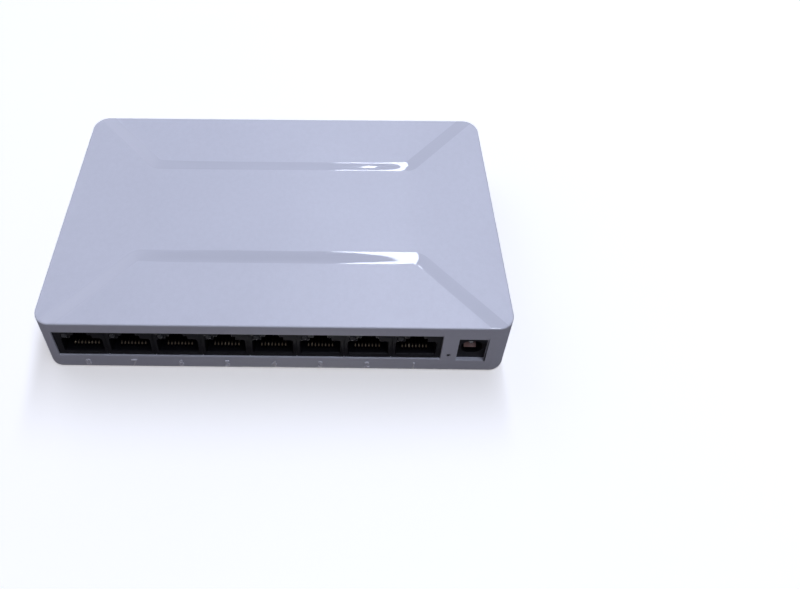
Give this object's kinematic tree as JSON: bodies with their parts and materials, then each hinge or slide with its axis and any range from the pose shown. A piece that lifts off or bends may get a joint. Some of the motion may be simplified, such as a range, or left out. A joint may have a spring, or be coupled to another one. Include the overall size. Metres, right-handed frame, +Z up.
{
  "type": "desktop network switch",
  "caption": "Small desktop network switch: white plastic case with a stepped top, a row of modular jacks, a power jack and a pinhole light.",
  "frame": {"origin": "centre of the case's footprint, on the plane the feet stand on", "axes": "+Z up, +X along the long side to the right as seen facing the ports, -Y out of the port wall"},
  "size_m": [0.1386, 0.0797, 0.0256],
  "materials": {
    "cover_plastic": "cool white ABS, fine spark-eroded matte with two polished strips on top",
    "base_plastic": "white ABS, matte",
    "contact_gold": "gold-plated phosphor bronze spring wire",
    "light_lens": "milky moulded lens, unlit",
    "foot_rubber": "dark grey rubber",
    "screw_steel": "zinc-plated steel",
    "jack_plastic": "black moulded thermoplastic, satin",
    "leaf_copper": "copper alloy leaf, lightly tarnished",
    "nickel": "nickel-plated",
    "board_laminate": "glass-epoxy laminate with green solder mask",
    "sink_aluminium": "black anodised",
    "capacitor_sleeve": "shrink sleeve",
    "ferrite": "ferrite, matte dark grey",
    "chip_package": "moulded epoxy package"
  },
  "bodies": {
    "case": {"base_plate": "base_plastic", "board_screw_left": "screw_steel", "board_screw_right": "screw_steel", "buck_inductor": "ferrite", "capacitor_1": "capacitor_sleeve", "capacitor_2": "capacitor_sleeve", "case_screw_left": "screw_steel", "case_screw_right": "screw_steel", "clock_crystal": "nickel", "config_memory": "chip_package", "foot_front_left": "foot_rubber", "foot_front_right": "foot_rubber", "foot_rear_left": "foot_rubber", "foot_rear_right": "foot_rubber", "heat_sink": "sink_aluminium", "lan_transformer_1": "chip_package", "lan_transformer_2": "chip_package", "lan_transformer_3": "chip_package", "lan_transformer_4": "chip_package", "main_board": "board_laminate", "port_1_light": "light_lens", "port_2_light": "light_lens", "port_3_light": "light_lens", "port_4_light": "light_lens", "port_5_light": "light_lens", "port_6_light": "light_lens", "port_7_light": "light_lens", "port_8_light": "light_lens", "power_jack_housing": "jack_plastic", "power_jack_pin": "nickel", "power_jack_switch_contact": "nickel", "power_light": "light_lens", "rj45_housing": "jack_plastic", "switch_chip": "chip_package", "top_cover": "cover_plastic", "voltage_regulator": "chip_package"},
    "port_1_contacts": {"port_1_contacts": "contact_gold"},
    "port_2_contacts": {"port_2_contacts": "contact_gold"},
    "port_3_contacts": {"port_3_contacts": "contact_gold"},
    "port_4_contacts": {"port_4_contacts": "contact_gold"},
    "port_5_contacts": {"port_5_contacts": "contact_gold"},
    "port_6_contacts": {"port_6_contacts": "contact_gold"},
    "port_7_contacts": {"port_7_contacts": "contact_gold"},
    "port_8_contacts": {"port_8_contacts": "contact_gold"},
    "power_jack_leaf": {"power_jack_leaf": "leaf_copper"}
  },
  "joints": [
    {"name": "port_1_contacts_flex", "type": "hinge", "parent": "case", "child": "port_1_contacts", "pos_m": [0.04149, -0.03675, 0.00995], "axis": [1, 0, 0], "range_deg": [-9, 0], "stiffness_Nm_per_rad": 0.01},
    {"name": "port_2_contacts_flex", "type": "hinge", "parent": "case", "child": "port_2_contacts", "pos_m": [0.02753, -0.03675, 0.00995], "axis": [1, 0, 0], "range_deg": [-9, 0], "stiffness_Nm_per_rad": 0.01},
    {"name": "port_3_contacts_flex", "type": "hinge", "parent": "case", "child": "port_3_contacts", "pos_m": [0.01355, -0.03675, 0.00995], "axis": [1, 0, 0], "range_deg": [-9, 0], "stiffness_Nm_per_rad": 0.01},
    {"name": "port_4_contacts_flex", "type": "hinge", "parent": "case", "child": "port_4_contacts", "pos_m": [-0.00042, -0.03675, 0.00995], "axis": [1, 0, 0], "range_deg": [-9, 0], "stiffness_Nm_per_rad": 0.01},
    {"name": "port_5_contacts_flex", "type": "hinge", "parent": "case", "child": "port_5_contacts", "pos_m": [-0.01439, -0.03675, 0.00995], "axis": [1, 0, 0], "range_deg": [-9, 0], "stiffness_Nm_per_rad": 0.01},
    {"name": "port_6_contacts_flex", "type": "hinge", "parent": "case", "child": "port_6_contacts", "pos_m": [-0.02836, -0.03675, 0.00995], "axis": [1, 0, 0], "range_deg": [-9, 0], "stiffness_Nm_per_rad": 0.01},
    {"name": "port_7_contacts_flex", "type": "hinge", "parent": "case", "child": "port_7_contacts", "pos_m": [-0.04233, -0.03675, 0.00995], "axis": [1, 0, 0], "range_deg": [-9, 0], "stiffness_Nm_per_rad": 0.01},
    {"name": "port_8_contacts_flex", "type": "hinge", "parent": "case", "child": "port_8_contacts", "pos_m": [-0.05629, -0.03675, 0.00995], "axis": [1, 0, 0], "range_deg": [-9, 0], "stiffness_Nm_per_rad": 0.01},
    {"name": "power_jack_leaf_flex", "type": "hinge", "parent": "case", "child": "power_jack_leaf", "pos_m": [0.05805, -0.0266, 0.00955], "axis": [1, 0, 0], "range_deg": [0, 4.5], "stiffness_Nm_per_rad": 0.02}
  ]
}
